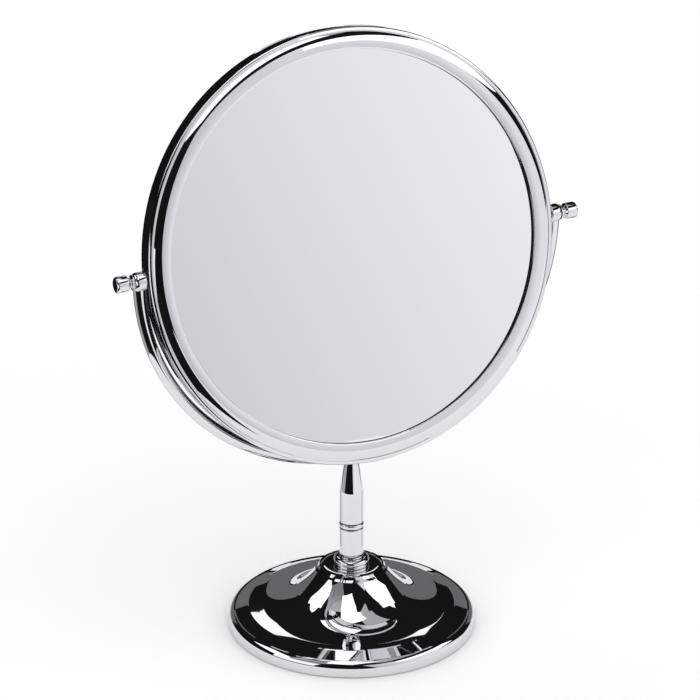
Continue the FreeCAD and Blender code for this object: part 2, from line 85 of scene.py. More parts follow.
class Finish:
    """A material being built up: its node tree, and one way to add any node to it."""

    def __init__(self, name):
        self.material = bpy.data.materials.new(name)
        self.material.use_nodes = True
        self.tree = self.material.node_tree
        self.tree.nodes.clear()

    def add(self, kind, settings=None, sockets=None, out=0):
        """Adds a node with its settings and its sockets' values or wires, and returns one output."""
        node = self.tree.nodes.new(kind)
        for key, value in (settings or {}).items():
            setattr(node, key, value)
        for key, value in (sockets or {}).items():
            if isinstance(value, Wire):
                self.tree.links.new(value.socket, node.inputs[key])
            else:
                node.inputs[key].default_value = value
        return Wire(self, node.outputs[out]) if node.outputs else None

    def place(self, turn=(0.0, 0.0, 0.0), centre=(0.0, 0.0, 0.0)):
        """The point being shaded, in metres from a piece's own centre and along its own axes."""
        here = self.add("ShaderNodeTexCoord", out="Object")
        sockets = {"Vector": here, "Location": centre, "Rotation": turn}
        return self.add("ShaderNodeMapping", {"vector_type": "TEXTURE"}, sockets)

    def noise(self, place, scale, detail=2.0, stretch=(1.0, 1.0, 1.0)):
        """Soft patches, scale of them to a metre."""
        pulled = self.add("ShaderNodeVectorMath", {"operation": "MULTIPLY"}, {0: place, 1: stretch})
        sockets = {"Vector": pulled, "Scale": scale, "Detail": detail}
        return self.add("ShaderNodeTexNoise", {}, sockets, "Fac")

    def blend(self, amount, first, second):
        """One colour turning into another.  The mixing node keeps its colour sockets at these places."""
        factor, colour_a, colour_b, result = 0, 6, 7, 2
        sockets = {factor: amount, colour_a: first, colour_b: second}
        return self.add("ShaderNodeMix", {"data_type": "RGBA"}, sockets, result)

    def bump(self, height, distance, strength=1.0):
        sockets = {"Height": height, "Distance": distance, "Strength": strength}
        return self.add("ShaderNodeBump", {}, sockets, "Normal")

    def surface(self, **sockets):
        """Ends the material in one physically based surface and returns the material."""
        named = {key.replace("_", " "): value for key, value in sockets.items()}
        shader = self.add("ShaderNodeBsdfPrincipled", {}, named)
        self.add("ShaderNodeOutputMaterial", {}, {"Surface": shader})
        return self.material


def rounded(corners, arc_step=12.0):
    """An outline in millimetres whose corners are (across, up) or (across, up, rounding radius)."""
    most_of_edge = 0.999
    points = []
    count = len(corners)
    for index, corner in enumerate(corners):
        here = Vector(corner[:2])
        if len(corner) < 3:
            points.append(here)
            continue
        before = Vector(corners[index - 1][:2]) - here
        after = Vector(corners[(index + 1) % count][:2]) - here
        half = before.angle(after) / 2
        room = (before.length * most_of_edge, after.length * most_of_edge)
        reach = min(corner[2] / math.tan(half), *room)
        radius = reach * math.tan(half)
        first = here + before.normalized() * reach
        last = here + after.normalized() * reach
        inward = (before.normalized() + after.normalized()).normalized()
        middle = here + inward * radius / math.sin(half)
        swing = (first - middle).angle_signed(last - middle)
        steps = max(2, math.ceil(abs(math.degrees(swing)) / arc_step))
        for step in range(steps + 1):
            turn = Matrix.Rotation(-swing * step / steps, 2)
            points.append(middle + turn @ (first - middle))
    return points


def finished(piece, material, body, nodes, crisp=35.0):
    """Welds and faces a piece outwards, shades it, gives it its finish and hands it to its body."""
    shape = bmesh.new()
    shape.from_mesh(piece.data)
    bmesh.ops.remove_doubles(shape, verts=shape.verts, dist=WELD)
    bmesh.ops.recalc_face_normals(shape, faces=shape.faces)
    for face in shape.faces:
        face.smooth = True
    shape.to_mesh(piece.data)
    shape.free()
    piece.data.set_sharp_from_angle(angle=math.radians(crisp))
    piece.data.materials.clear()
    piece.data.materials.append(material)
    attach(piece, body)
    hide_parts(*nodes)


def lathed(name, outline, stand=Matrix(), around=160):
    """A turned piece: a closed outline in millimetres spun about its own +Z and stood in its place."""
    shape = bmesh.new()
    angles = [math.tau * step / around for step in range(around)]
    rings = []
    for point in outline:
        across, up = max(point.x, 0.0) * MM, point.y * MM
        if across < ON_AXIS:
            rings.append([shape.verts.new((0.0, 0.0, up))])
            continue
        places = [(across * math.cos(angle), across * math.sin(angle), up) for angle in angles]
        rings.append([shape.verts.new(place) for place in places])
    for lower, upper in zip(rings, rings[1:] + rings[:1]):
        if len(lower) == len(upper) == 1:
            continue
        for step in range(around):
            after = (step + 1) % around
            corners = [lower[step % len(lower)], lower[after % len(lower)]]
            corners += [upper[after % len(upper)], upper[step % len(upper)]]
            shape.faces.new(list(dict.fromkeys(corners)))
    shape.transform(stand)
    mesh = bpy.data.meshes.new(name)
    shape.to_mesh(mesh)
    shape.free()
    piece = bpy.data.objects.new(name, mesh)
    bpy.context.scene.collection.objects.link(piece)
    return piece


def foam_rubber(name, dark, pale, cell_size):
    """Closed-cell foam: fine round cells over a slow change of shade."""
    foam = Finish(name)
    place = foam.place()
    sockets = {"Vector": place, "Scale": 1.0 / cell_size}
    cells = foam.add("ShaderNodeTexVoronoi", {}, sockets, "Distance")
    patch = foam.noise(place, 60.0)
    colour = foam.blend(patch * 0.6 + cells * 0.4, (*dark, 1.0), (*pale, 1.0))
    normal = foam.bump(cells, 0.0002, 0.6)
    return foam.surface(Base_Color=colour, Roughness=0.82 + patch * 0.12, Normal=normal)


pad_foam = foam_rubber("foot_pad_foam", (0.012, 0.012, 0.014), (0.035, 0.035, 0.04), 0.0006)
pad_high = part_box("base_pad")[1]
pad_radius = pad_high.x / MM
pad_top = pad_high.z / MM
pad_profile = rounded([(0, 0), (pad_radius, 0, 0.25), (pad_radius, pad_top, 0.2), (0, pad_top)])
pad = lathed("foot_pad", pad_profile)
finished(pad, pad_foam, "foot", ["base_pad"])


# ------------------------------------------------------------------ ballast and its plate
# A cast-iron weight fills the foot, and a pressed steel ring plate closes it from below.  Both stay
# out of sight, so they keep their plain turned shapes and take a cast and a zinc-plated finish.
def cast_iron():
    iron = Finish("ballast_iron")
    place = iron.place()
    grain = iron.noise(place, 900.0, 4.0)
    patch = iron.noise(place, 45.0)
    colour = iron.blend(patch, (0.030, 0.030, 0.033, 1.0), (0.075, 0.070, 0.066, 1.0))
    normal = iron.bump(grain, 0.0004, 0.7)
    return iron.surface(Base_Color=colour, Roughness=0.6 + patch * 0.3, Metallic=0.4, Normal=normal)


def zinc_plate():
    zinc = Finish("zinc_plated_steel")
    place = zinc.place()
    spangle = zinc.add("ShaderNodeTexVoronoi", {}, {"Vector": place, "Scale": 700.0}, "Distance")
    patch = zinc.noise(place, 150.0)
    colour = zinc.blend(patch, (0.42, 0.43, 0.45, 1.0), (0.60, 0.61, 0.62, 1.0))
    normal = zinc.bump(spangle, 0.00003, 0.4)
    return zinc.surface(Base_Color=colour, Roughness=0.28 + patch * 0.2, Metallic=1.0, Normal=normal)


def refinish(material, *nodes):
    """Gives pieces that keep their own shape a better finish."""
    for node in nodes:
        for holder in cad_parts[node].material_slots:
            holder.material = material


zinc = zinc_plate()
refinish(cast_iron(), "base_weight")
refinish(zinc, "base_plate")

# ------------------------------------------------------------------ foot shell
# The foot's cover is spun from thin steel sheet and chromium plated: an upright skirt, a rolled
# rim, a shallow valley that climbs to a fine crease, then a bell that flares up to a small flat top
# under the collar.
SHEET = 0.8
RIM_ROUND = 4.6
CHROME_SHADE = (0.75, 0.75, 0.77)


def handled(plate, place):
    """Handling marks on bright plate: a slow haze, and the roughness of that haze and a few specks."""
    fresh, hazed, specked = 0.012, 0.045, 0.05
    haze = plate.noise(place, 38.0, 4.0)
    specks = plate.noise(place, 1900.0, 2.0)
    return haze, fresh + haze * haze * hazed + (specks > 0.74) * specked


def chrome(name, turn=(0.0, 0.0, 0.0), centre=(0.0, 0.0, 0.0)):
    """Bright plate on a turned or spun piece, with faint ring marks about its own axis."""
    plate = Finish(name)
    place = plate.place(turn, centre)
    sockets = {0: place, 1: (1.0, 1.0, 0.0)}
    flat = plate.add("ShaderNodeVectorMath", {"operation": "MULTIPLY"}, sockets)
    across = plate.add("ShaderNodeVectorMath", {"operation": "LENGTH"}, {0: flat}, "Value")
    along = plate.add("ShaderNodeSeparateXYZ", {}, {0: place}, "Z")
    ring_place = plate.add("ShaderNodeCombineXYZ", {}, {"X": across, "Y": along})
    rings = plate.noise(ring_place, 2600.0, 3.0)
    haze, rough = handled(plate, place)
    dull = plate.blend(haze, (*CHROME_SHADE, 1.0), (*(0.97 * part for part in CHROME_SHADE), 1.0))
    normal = plate.bump(rings, 0.0000012, 0.5)
    return plate.surface(Base_Color=dull, Metallic=1.0, Roughness=rough, Normal=normal)


def arc_points(across, up, radius, first, last, step=4.0):
    """Points along an arc about (across, up), between two slopes: 0 faces up and 90 outwards."""
    count = math.ceil(abs(last - first) / step)
    points = []
    for index in range(count + 1):
        slope = math.radians(first + (last - first) * index / count)
        points.append(Vector((across + radius * math.sin(slope), up + radius * math.cos(slope))))
    return points


def walled(outline, thickness):
    """Closes an open outline into a sheet of even thickness, laid to one side of its run."""
    inner = []
    for index, point in enumerate(outline):
        before = outline[max(index - 1, 0)]
        after = outline[min(index + 1, len(outline) - 1)]
        run = (after - before).normalized()
        inner.append(point + Vector((-run.y, run.x)) * thickness)
    return outline + inner[::-1]


stem_chrome = chrome("foot_and_stem_chrome")
shell_low, shell_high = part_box("base_shell")
foot_radius = shell_high.x / MM
foot_lift = shell_low.z / MM
shell_top = shell_high.z / MM
shell_profile = [Vector((foot_radius, foot_lift))]
shell_profile += arc_points(foot_radius - RIM_ROUND, 4.2, RIM_ROUND, 90, 22)
shell_profile += rounded([
    (61.1, 8.2),
    (54.6, 10.42, 0.2),
    (54.1, 10.62, 0.2),
    (50.0, 11.0, 18.0),
    (37.97, 11.53, 34.8),
    (21.74, 25.44, 60.0),
    (16.8, shell_top, 5.4),
    (7.2, shell_top),
], arc_step=4.0)
shell = lathed("foot_shell", walled(shell_profile, SHEET), around=256)
finished(shell, stem_chrome, "foot", ["base_shell"])

# ------------------------------------------------------------------ collar, washer and nut
# The collar is turned brass in two stacked beads.  Its hidden spigot drops through the shell and
# the ballast, where a flat washer and a hexagon nut pull it down.
refinish(zinc, "clamp_washer", "clamp_nut")
collar_low, collar_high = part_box("collar_socket")
collar_top = collar_high.z / MM
collar_bottom = collar_low.z / MM
collar_bore, spigot_radius, bead_radius, top_bead_radius = 5.45, 7.0, 9.1, 9.4
collar_foot = shell_top + 0.05
tube_seat = 37.6
collar_profile = rounded([
    (collar_bore, collar_bottom),
    (spigot_radius, collar_bottom),
    (spigot_radius, collar_foot),
    (bead_radius, collar_foot, 0.5),
    (bead_radius, 35.05, 0.65),
    (8.35, 35.25, 0.08),
    (top_bead_radius, 35.5, 0.6),
    (top_bead_radius, collar_top, 2.1),
    (6.6, collar_top, 0.3),
    (6.5, tube_seat),
    (collar_bore, tube_seat),
])
collar = lathed("stem_collar", collar_profile)
finished(collar, stem_chrome, "foot", ["collar_socket"])

# ------------------------------------------------------------------ lower tube and joint ring
# The lower tube is half-inch brass tube, brazed in the collar.  A beaded ring is pressed in its
# mouth and leaves a fine groove on each side of itself.
tube_low, tube_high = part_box("outer_tube")
stem_radius = tube_high.x / MM
tube_top = tube_high.z / MM
tube_bottom = tube_low.z / MM
tube_bore, tail_radius, tube_shoulder = 4.6, 5.4, 37.65
tube_profile = rounded([
    (tube_bore, tube_bottom),
    (tail_radius, tube_bottom),
    (tail_radius, tube_shoulder),
    (stem_radius, tube_shoulder, 0.8),
    (stem_radius, tube_top, 0.45),
    (tube_bore, tube_top),
])
tube = lathed("lower_tube", tube_profile)
finished(tube, stem_chrome, "foot", ["outer_tube"])

ring_low, ring_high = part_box("joint_ring")
ring_radius = ring_high.x / MM
ring_top = ring_high.z / MM
ring_bottom = ring_low.z / MM
ring_bore, ring_tail, ring_shoulder, ring_bead = 3.9, 4.55, 55.15, 0.9
ring_profile = rounded([
    (ring_bore, ring_bottom),
    (ring_tail, ring_bottom),
    (ring_tail, ring_shoulder),
    (ring_radius - ring_bead, ring_shoulder),
    (ring_radius, 55.2, ring_bead),
    (ring_radius, ring_top, ring_bead),
    (ring_bore, ring_top, 0.2),
])
joint_ring = lathed("tube_mouth_ring", ring_profile)
finished(joint_ring, stem_chrome, "foot", ["joint_ring"])


# ------------------------------------------------------------------ bushes and end stop
# Two nylon bushes guide the slider: one is fixed in the tube's mouth, the other rides on the
# slider's foot, held by a headed steel plug.
def moulded(name, grain, dark, pale, smoothest, spread, depth, strength=0.4):
    """Moulded plastic or rubber: one patchy grain in its colour, its roughness and its surface."""
    plastic = Finish(name)
    patch = plastic.noise(plastic.place(), grain, 3.0)
    colour = plastic.blend(patch, (*dark, 1.0), (*pale, 1.0))
    normal = plastic.bump(patch, depth, strength)
    return plastic.surface(Base_Color=colour, Roughness=smoothest + patch * spread, Normal=normal)


cream, pale_cream = (0.70, 0.68, 0.60), (0.80, 0.79, 0.73)
nylon = moulded("natural_nylon", 260.0, cream, pale_cream, 0.38, 0.15, 0.00004)
refinish(nylon, "guide_bush", "glide_bush")
refinish(zinc, "end_stop")

# ------------------------------------------------------------------ slider and upper sleeve
# The slider is a slim bright tube that only shows when the mirror is raised.  It is brazed up
# inside the sleeve, whose taper ends in a saddle under the yoke.
slider_low, slider_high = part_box("inner_tube")
slider_radius = slider_high.x / MM
slider_bottom, slider_top = slider_low.z / MM, slider_high.z / MM
slider_bore = 2.75
slider_profile = rounded([
    (slider_bore, slider_bottom),
    (slider_radius, slider_bottom, 0.2),
    (slider_radius, slider_top),
    (slider_bore, slider_top),
])
slider = lathed("slider_tube", slider_profile, around=96)
finished(slider, stem_chrome, "head", ["inner_tube"])

sleeve_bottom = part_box("upper_sleeve")[0].z / MM
sleeve_bore, bore_end, saddle_top = 3.78, 75.8, 94.7
sleeve_profile = rounded([
    (sleeve_bore, sleeve_bottom),
    (stem_radius, sleeve_bottom, 0.6),
    (stem_radius, 76.0, 12.0),
    (3.5, 93.9, 0.5),
    (3.3, saddle_top, 0.3),
    (0, saddle_top),
    (0, bore_end),
    (sleeve_bore, bore_end),
], arc_step=2.0)
sleeve = lathed("tapered_sleeve", sleeve_profile)
finished(sleeve, stem_chrome, "head", ["upper_sleeve"])

# ------------------------------------------------------------------ yoke
# The yoke is quarter-inch round steel rod, bent to a half ring, brazed to the sleeve at its middle
# and to an eye at each end, then plated.
eye_low, eye_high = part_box("yoke_eye_right")
PIVOT = Vector((0.0, 0.0, (eye_low.z + eye_high.z) / 2))


def node_tree(name, inputs):
    """A new geometry tree with one mesh going in, one coming out, and the named sizes."""
    tree = bpy.data.node_groups.new(name, "GeometryNodeTree")
    tree.interface.new_socket("Geometry", in_out="INPUT", socket_type="NodeSocketGeometry")
    for label, kind in inputs:
        tree.interface.new_socket(label, in_out="INPUT", socket_type=kind)
    tree.interface.new_socket("Geometry", in_out="OUTPUT", socket_type="NodeSocketGeometry")
    return tree


def geometry_node(tree, kind, settings=None, sockets=None):
    """Adds one node with its settings, and its sockets' values or the outputs linked to them."""
    node = tree.nodes.new(kind)
    for key, value in (settings or {}).items():
        setattr(node, key, value)
    for key, value in (sockets or {}).items():
        if isinstance(value, bpy.types.NodeSocket):
            tree.links.new(value, node.inputs[key])
        else:
            node.inputs[key].default_value = value
    return node


def end_tree(tree, source, sizes):
    """Closes a tree: smooth shading, real geometry and the piece's finish."""
    smooth = geometry_node(tree, "GeometryNodeSetShadeSmooth", {}, {"Geometry": source})
    real = geometry_node(tree, "GeometryNodeRealizeInstances", {}, {"Geometry": smooth.outputs[0]})
    sockets = {"Geometry": real.outputs[0], "Material": sizes["Material"]}
    finish = geometry_node(tree, "GeometryNodeSetMaterial", {}, sockets)
    geometry_node(tree, "NodeGroupOutput", {}, {"Geometry": finish.outputs[0]})


def grown(name, tree, values, start=None):
    """Runs a geometry tree on a fresh object and keeps the result as a plain mesh at the origin."""
    mesh = start or bpy.data.meshes.new(f"{name}_start")
    piece = bpy.data.objects.new(name, mesh)
    bpy.context.scene.collection.objects.link(piece)
    grow = piece.modifiers.new("grow", "NODES")
    grow.node_group = tree
    for item in tree.interface.items_tree:
        if item.in_out == "INPUT" and item.name in values:
            grow[item.identifier] = values[item.name]
    grown_piece = piece.evaluated_get(bpy.context.evaluated_depsgraph_get())
    result = bpy.data.meshes.new_from_object(grown_piece)
    piece.modifiers.clear()
    piece.data = result
    result.name = name
    return piece


def rod_bend_tree():
    """Round rod bent along the lower half of a circle in the XZ plane."""
    bend_points, round_points = 181, 48
    sizes = [("Bend Radius", "NodeSocketFloat"), ("Rod Radius", "NodeSocketFloat")]
    sizes += [("Material", "NodeSocketMaterial")]
    tree = node_tree("rod bent to a half ring", sizes)
    given = geometry_node(tree, "NodeGroupInput").outputs
    arc_sockets = {"Resolution": bend_points, "Radius": given["Bend Radius"]}
    arc_sockets.update({"Start Angle": math.pi, "Sweep Angle": math.pi})
    arc = geometry_node(tree, "GeometryNodeCurveArc", {"mode": "RADIUS"}, arc_sockets)
    sockets = {"Resolution": round_points, "Radius": given["Rod Radius"]}
    section = geometry_node(tree, "GeometryNodeCurvePrimitiveCircle", {"mode": "RADIUS"}, sockets)
    sockets = {"Curve": arc.outputs[0], "Profile Curve": section.outputs[0], "Fill Caps": True}
    rod = geometry_node(tree, "GeometryNodeCurveToMesh", {}, sockets)
    upright = (math.pi / 2, 0.0, 0.0)
    sockets = {"Geometry": rod.outputs[0], "Rotation": upright, "Translation": PIVOT}
    stood = geometry_node(tree, "GeometryNodeTransform", {}, sockets)
    end_tree(tree, stood.outputs[0], given)
    return tree


def yoke_chrome():
    """Bright plate on bent rod, with nothing but handling marks on it."""
    plate = Finish("yoke_chrome")
    haze, rough = handled(plate, plate.place(centre=tuple(PIVOT)))
    colour = plate.blend(haze, (*CHROME_SHADE, 1.0), (0.73, 0.73, 0.75, 1.0))
    normal = plate.bump(haze, 0.00001, 0.3)
    return plate.surface(Base_Color=colour, Metallic=1.0, Roughness=rough, Normal=normal)


rod_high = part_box("yoke_rod")[1]
rod_radius = rod_high.y
bend_radius = rod_high.x - rod_radius
rod_plate = yoke_chrome()
values = {"Bend Radius": bend_radius, "Rod Radius": rod_radius, "Material": rod_plate}
yoke = grown("yoke_rod_bend", rod_bend_tree(), values)
finished(yoke, rod_plate, "head", ["yoke_rod"])

# ------------------------------------------------------------------ eyes, washers, screws and thumb knobs
# On each side the rod ends in a turned eye.  A screw runs through it from the thumb knob into a
# brass insert in the mirror's frame, with a nylon washer against the frame and a spring washer
# under the knob.
def brass():
    metal = Finish("turned_brass")
    place = metal.place()
    patch = metal.noise(place, 400.0, 3.0)
    colour = metal.blend(patch, (0.62, 0.45, 0.17, 1.0), (0.74, 0.57, 0.26, 1.0))
    return metal.surface(Base_Color=colour, Metallic=1.0, Roughness=0.22 + patch * 0.2)


black, soft_black = (0.012, 0.012, 0.013), (0.030, 0.030, 0.032)
washer_nylon = moulded("black_nylon", 350.0, black, soft_black, 0.35, 0.2, 0.00003)
pivot_chrome = chrome("pivot_chrome", turn=(0.0, math.pi / 2, 0.0), centre=tuple(PIVOT))
eye_in, eye_out = eye_low.x / MM, eye_high.x / MM
slip_in, slip_out = (corner.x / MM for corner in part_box("slip_washer_right"))
spring_in, spring_out = (corner.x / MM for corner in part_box("spring_washer_right"))
knob_in, knob_out = (corner.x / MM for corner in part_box("thumb_knob_right"))
eye_bore, washer_bore, screw_fit, blade = 2.06, 2.1, 2.02, 0.45
eye_radius, slip_radius, spring_radius, neck_radius, knob_radius = 4.75, 4.2, 4.0, 2.4, 4.2
EYE = [
    (eye_bore, eye_in),
    (eye_radius, eye_in, 1.1),
    (eye_radius, eye_out, 2.0),
    (eye_bore, eye_out),
]
SLIP = [
    (washer_bore, slip_in),
    (slip_radius, slip_in, 0.15),
    (slip_radius, slip_out, 0.15),
    (washer_bore, slip_out),
]
SPRING = [
    (washer_bore, spring_out - blade),
    (spring_radius, spring_in, 0.1),
    (spring_radius, spring_in + blade, 0.1),
    (washer_bore, spring_out),
]
screw_end = knob_out - 2.3
KNOB = [
    (screw_fit, knob_in),
    (neck_radius, knob_in, 0.1),
    (neck_radius, knob_in + 0.6, 0.1),
    (knob_radius, knob_in + 2.05, 0.5),
    (knob_radius, knob_out, 1.1),
    (0, knob_out),
    (0, screw_end),
    (screw_fit, screw_end),
]
for side, turned_by in (("left", -math.pi / 2), ("right", math.pi / 2)):
    outward = Matrix.Translation(PIVOT) @ Matrix.Rotation(turned_by, 4, "Y")
    eye = lathed(f"yoke_eye_boss_{side}", rounded(EYE), outward, around=96)
    finished(eye, pivot_chrome, "head", [f"yoke_eye_{side}"])
    spring = lathed(f"dished_washer_{side}", rounded(SPRING), outward, around=64)
    finished(spring, pivot_chrome, f"knob_{side}", [f"spring_washer_{side}"])
    slip = lathed(f"nylon_washer_{side}", rounded(SLIP), outward, around=64)
    finished(slip, washer_nylon, "mirror", [f"slip_washer_{side}"])
    knob = lathed(f"knob_{side}_body", rounded(KNOB), outward, around=96)
    finished(knob, pivot_chrome, f"knob_{side}", [f"thumb_knob_{side}"])
    refinish(zinc, f"pivot_screw_{side}")
refinish(brass(), "pivot_insert_left", "pivot_insert_right")

# ------------------------------------------------------------------ mirror frame
# The frame is a steel hoop with a pressed bezel rolled over each edge: a round outer bead, a crease
# and a shallow dished face that ends in a thin lip over the glass.  A moulded ring inside carries
# them and the pivot inserts.
TILT = math.radians(11.4)
FRONT = Matrix.Translation(PIVOT) @ Matrix.Rotation(math.pi / 2 - TILT, 4, "X")
REAR = FRONT @ Matrix.Rotation(math.pi, 4, "X")
SIDES = (("plain_side", "front", FRONT), ("dished_side", "rear", REAR))
RING_STEPS = 288


def section_ring_tree():
    """Sweeps a flat section once round a circle: its X runs outwards and its Y down the ring's axis."""
    sizes = [("Ring Radius", "NodeSocketFloat"), ("Steps", "NodeSocketInt")]
    sizes += [("Material", "NodeSocketMaterial")]
    tree = node_tree("ring swept from its section", sizes)
    given = geometry_node(tree, "NodeGroupInput").outputs
    section = geometry_node(tree, "GeometryNodeMeshToCurve", {}, {"Mesh": given["Geometry"]})
    sockets = {"Resolution": given["Steps"], "Radius": given["Ring Radius"]}
    circle = geometry_node(tree, "GeometryNodeCurvePrimitiveCircle", {"mode": "RADIUS"}, sockets)
    sockets = {"Curve": circle.outputs[0], "Profile Curve": section.outputs[0]}
    ring = geometry_node(tree, "GeometryNodeCurveToMesh", {}, sockets)
    end_tree(tree, ring.outputs[0], given)
    return tree


def swept_ring(name, tree, section, ring_radius, material, stand):
    """Grows one ring from a section in millimetres, as (distance from the ring's axis, height)."""
    mesh = bpy.data.meshes.new(f"{name}_section")
    points = [((point.x - ring_radius) * MM, -point.y * MM, 0.0) for point in section]
    edges = [(index, (index + 1) % len(points)) for index in range(len(points))]
    mesh.from_pydata(points, edges, [])
    values = {"Ring Radius": ring_radius * MM, "Steps": RING_STEPS, "Material": material}
    piece = grown(name, tree, values, mesh)
    piece.data.transform(stand)
    return piece


ring_tree = section_ring_tree()
frame_turn = (math.pi / 2 - TILT, 0.0, 0.0)
frame_chrome = chrome("frame_chrome", turn=frame_turn, centre=tuple(PIVOT))
hoop_inner, hoop_middle, hoop_outer, hoop_half = 110.25, 110.5, 110.9, 4.6
HOOP = [
    (hoop_inner, -hoop_half),
    (hoop_outer, -hoop_half),
    (hoop_outer, hoop_half),
    (hoop_inner, hoop_half),
]
hoop = swept_ring("frame_hoop", ring_tree, rounded(HOOP), hoop_middle, frame_chrome, FRONT)
finished(hoop, frame_chrome, "mirror", ["frame_band"])

# a bezel's section runs over the bead, across the crease, down the dished face and round the lip
BEAD, BEAD_ACROSS, BEAD_UP = 0.9, 110.3, 4.7
LAND, LAND_ACROSS, LAND_UP = 4.0, 109.24, 1.78
FACE_ROUND, FACE_ACROSS, FACE_UP = 9.5, 103.3, -2.11
LIP, LIP_ACROSS, LIP_UP = 0.36, 100.36, 6.56
bezel_back = 4.65
bezel_middle = 105.0
bezel_section = [Vector((111.2, bezel_back))]
bezel_section += arc_points(BEAD_ACROSS, BEAD_UP, BEAD, 90, 20, 10.0)
bezel_section += arc_points(LAND_ACROSS, LAND_UP, LAND, 18, -4, 3.0)
bezel_section += arc_points(FACE_ACROSS, FACE_UP, FACE_ROUND, 35.4, -16, 2.5)
bezel_section += arc_points(LIP_ACROSS, LIP_UP, LIP, -24, -90, 11.0)
under_lip = ((100.0, 6.0), (101.8, 6.0), (101.8, 5.7), (105.3, 5.7), (105.3, bezel_back))
bezel_section += [Vector(point) for point in under_lip]
for side, facing, stand in SIDES:
    name = f"bezel_{side}"
    bezel = swept_ring(name, ring_tree, bezel_section, bezel_middle, frame_chrome, stand)
    finished(bezel, frame_chrome, "mirror", [f"{facing}_bezel"])
charcoal, pale_charcoal = (0.020, 0.020, 0.022), (0.035, 0.035, 0.038)
carrier_plastic = moulded("carrier_moulding", 300.0, charcoal, pale_charcoal, 0.45, 0.2, 0.00005)
refinish(carrier_plastic, "inner_carrier")


# ------------------------------------------------------------------ glasses, gaskets and packing
# A flat glass faces forwards and a dished, magnifying one backwards, both silvered.  Each sits on a
# black rubber gasket under its bezel's lip, with a foam sheet and a foam ring between them.  The
# gasket's near-black is partly painted shade: it also stands in for the shadow in the gap under the lip.
SILVER_SHADE = (0.86, 0.86, 0.88)


def silvered_glass(name):
    """Clean silvered glass with a trace of haze and dust."""
    glass = Finish(name)
    place = glass.place(frame_turn, tuple(PIVOT))
    haze = glass.noise(place, 14.0, 4.0)
    dust = glass.noise(place, 2400.0, 2.0)
    hazed = (*(0.985 * part for part in SILVER_SHADE), 1.0)
    colour = glass.blend(haze, (*SILVER_SHADE, 1.0), hazed)
    rough = haze * haze * 0.02 + (dust > 0.77) * 0.08
    return glass.surface(Base_Color=colour, Metallic=1.0, Roughness=rough)


# The gasket's black is partly the rubber's own colour and partly painted shade for the shadow in the gap
# under the bezel's lip.
gap_shade_and_rubber_black, worn_gap_shade_and_rubber_black = (0.006, 0.006, 0.007), (0.016, 0.016, 0.017)
rubber = moulded("gasket_rubber_and_gap_shade", 500.0, gap_shade_and_rubber_black, worn_gap_shade_and_rubber_black, 0.5, 0.25, 0.00004, 0.5)
gasket_inner, gasket_middle, gasket_outer = 100.2, 101.0, 101.75
gasket_back, gasket_front = 5.23, 5.97
GASKET = [
    (gasket_inner, gasket_back, 0.2),
    (gasket_outer, gasket_back),
    (gasket_outer, gasket_front),
    (gasket_inner, gasket_front, 0.2),
]
for side, facing, stand in SIDES:
    gasket = swept_ring(f"gasket_{side}", ring_tree, rounded(GASKET), gasket_middle, rubber, stand)
    finished(gasket, rubber, "mirror", [f"{facing}_gasket"])

GLASS_RADIUS = 104.9
FACE = 5.2
plain_back = FACE - 3.0
silver = silvered_glass("plain_silvering")
PLAIN = [
    (0, plain_back),
    (GLASS_RADIUS, plain_back, 0.3),
    (GLASS_RADIUS, FACE, 0.4),
    (0, FACE),
]
plain = lathed("plain_mirror_glass", rounded(PLAIN), FRONT, around=256)
finished(plain, silver, "mirror", ["plain_glass"], crisp=20.0)

SAG = 2.5
DISH_THICK = 2.0
DISH_STEPS = 24
dish_curve = (GLASS_RADIUS ** 2 + SAG ** 2) / (2 * SAG)
dish_places = [GLASS_RADIUS * step / DISH_STEPS for step in range(DISH_STEPS + 1)]


def dish_line(radius, bottom):
    """Half of a dished surface of one radius, from its lowest point at the middle to the rim."""
    return [Vector((a, bottom + radius - math.sqrt(radius ** 2 - a ** 2))) for a in dish_places]


dish_back = dish_line(dish_curve + DISH_THICK, FACE - SAG - DISH_THICK)
dish_face = dish_line(dish_curve, FACE - SAG)
dish_silver = silvered_glass("dished_silvering")
dished = lathed("magnifying_mirror_glass", dish_back + dish_face[::-1], REAR, around=256)
finished(dished, dish_silver, "mirror", ["dished_glass"], crisp=20.0)

packing = foam_rubber("packing_foam", (0.16, 0.16, 0.17), (0.26, 0.26, 0.27), 0.0009)
refinish(packing, "backing_sheet", "spacer_ring")


# ------------------------------------------------------------------ tabletop
# The mirror stands on a plain pale top, wide enough to fill the view, which an even pale sky lights
# softly.
def on_stage(piece):
    bpy.context.scene.collection.objects.link(piece)


def pale_top():
    top = Finish("pale_tabletop")
    patch = top.noise(top.place(), 3.0)
    colour = top.blend(patch, (0.92, 0.92, 0.925, 1.0), (0.94, 0.94, 0.945, 1.0))
    return top.surface(Base_Color=colour, Roughness=0.9)


TABLE_RADIUS = 1.7
top_mesh = bpy.data.meshes.new("tabletop")
top_shape = bmesh.new()
bmesh.ops.create_circle(top_shape, cap_ends=True, segments=96, radius=TABLE_RADIUS)
top_shape.to_mesh(top_mesh)
top_shape.free()
top_mesh.materials.append(pale_top())
on_stage(bpy.data.objects.new("tabletop", top_mesh))

world = bpy.data.worlds.new("pale_sky")
bpy.context.scene.world = world
world.use_nodes = True
sky = world.node_tree.nodes["Background"].inputs
sky["Color"].default_value = (1.0, 1.0, 1.0, 1.0)
sky["Strength"].default_value = 1.12


# ------------------------------------------------------------------ what the bright metal sees
# Polished metal shows its room, so the room is dark cloth all round with a few white softboxes,
# papers and cards in it.  They only show in reflections and throw no light or shadow of their own.
DOME_RADIUS = 3.0
LAID, STOOD = 0.001, 0.002  # heights of cloth lying on the top and of papers standing on it
SURROUND, ISLAND = (0.27, 2.9), (0.09, 0.26)  # from and to, out from the foot
PAPER_AWAY, REAR_CLOTH_AWAY, SOFTBOX_AWAY = 0.8, 0.5, 1.6
EDGE_STEPS = 40


def grey(level):
    """A very slightly cool grey."""
    return (level, level * 0.995, level * 1.02, 1.0)


